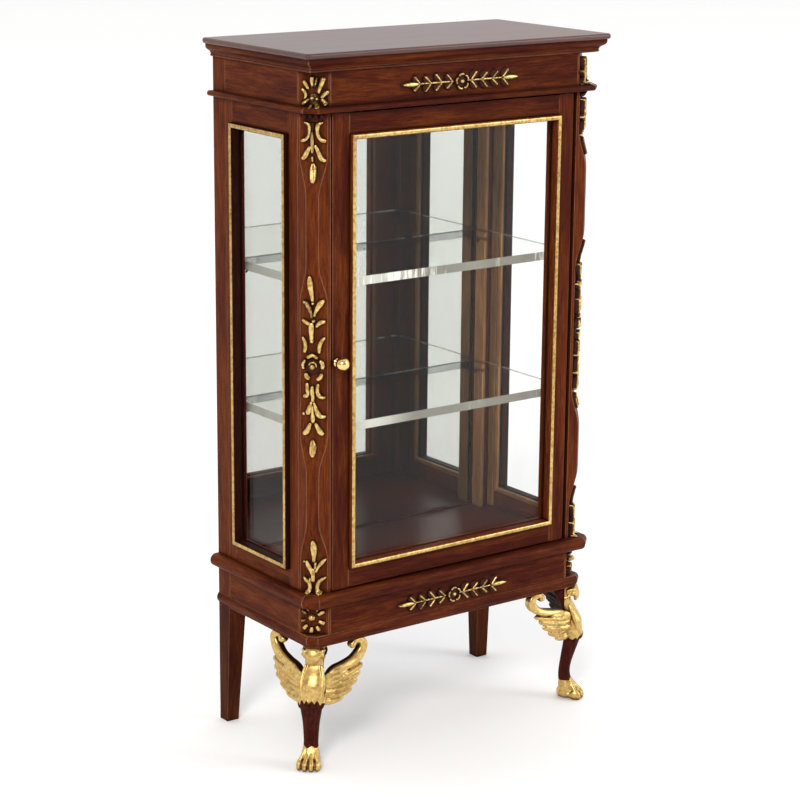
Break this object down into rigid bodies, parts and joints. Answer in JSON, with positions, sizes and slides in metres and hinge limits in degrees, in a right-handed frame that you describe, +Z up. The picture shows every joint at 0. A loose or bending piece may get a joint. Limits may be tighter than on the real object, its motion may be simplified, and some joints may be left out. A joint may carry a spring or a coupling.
{
  "type": "miniature display bookcase",
  "caption": "Dolls' house glazed bookcase: dark wood case on carved gilt griffin legs, mirror back, clear shelves and a right-hung glass door with a ball knob.",
  "frame": {"origin": "on the surface it stands on, under the middle of the whole object's box", "axes": "+Z up, +X to the right seen from the front, -Y towards the front (door side)"},
  "size_m": [0.0862, 0.043, 0.165],
  "materials": {
    "mahogany": "semi-gloss polish",
    "case_wood": "satin polish",
    "carved_leg": "semi-gloss polish with gilt carving",
    "gilt": "gold leaf with dark toning in the recesses",
    "brass": "polished",
    "mirror": "silvered",
    "clear_pane": "clear polished sheet",
    "clear_shelf": "clear polished sheet"
  },
  "bodies": {
    "case": {"apron_back": "case_wood", "apron_front": "mahogany", "apron_left": "mahogany", "apron_mount": "gilt", "apron_right": "mahogany", "back_board": "case_wood", "base_bead_front": "mahogany", "base_bead_left": "mahogany", "base_bead_right": "mahogany", "ceiling_board": "case_wood", "cornice_front": "mahogany", "cornice_left": "mahogany", "cornice_right": "mahogany", "floor_board": "case_wood", "frieze_front": "mahogany", "frieze_left": "mahogany", "frieze_mount": "gilt", "frieze_right": "mahogany", "front_leg_left": "carved_leg", "front_leg_right": "carved_leg", "hinge_pins": "brass", "mirror": "mirror", "post_carving_left": "gilt", "post_carving_right": "gilt", "post_front_left": "mahogany", "post_front_right": "mahogany", "post_rear_left": "mahogany", "post_rear_right": "mahogany", "shelf_lower": "clear_shelf", "shelf_pegs": "brass", "shelf_upper": "clear_shelf", "side_bead_left": "gilt", "side_bead_right": "gilt", "side_glass_left": "clear_pane", "side_glass_right": "clear_pane", "side_rail_bottom_left": "mahogany", "side_rail_bottom_right": "mahogany", "side_rail_top_left": "mahogany", "side_rail_top_right": "mahogany", "side_stile_front_left": "mahogany", "side_stile_front_right": "mahogany", "side_stile_rear_left": "mahogany", "side_stile_rear_right": "mahogany", "string_front": "mahogany", "string_left": "mahogany", "string_right": "mahogany", "top_board": "mahogany", "waist_front": "mahogany", "waist_left": "mahogany", "waist_right": "mahogany", "wings_left": "gilt", "wings_right": "gilt"},
    "door": {"door_stile_hinge": "mahogany", "door_stile_knob": "mahogany", "door_rail_top": "mahogany", "door_rail_bottom": "mahogany", "door_bead": "gilt", "door_glass": "clear_pane", "knob": "brass"}
  },
  "joints": [
    {"name": "door_hinge", "type": "hinge", "parent": "case", "child": "door", "pos_m": [0.033, -0.01678, 0.097], "axis": [0, 0, 1], "range_deg": [0, 100]}
  ]
}
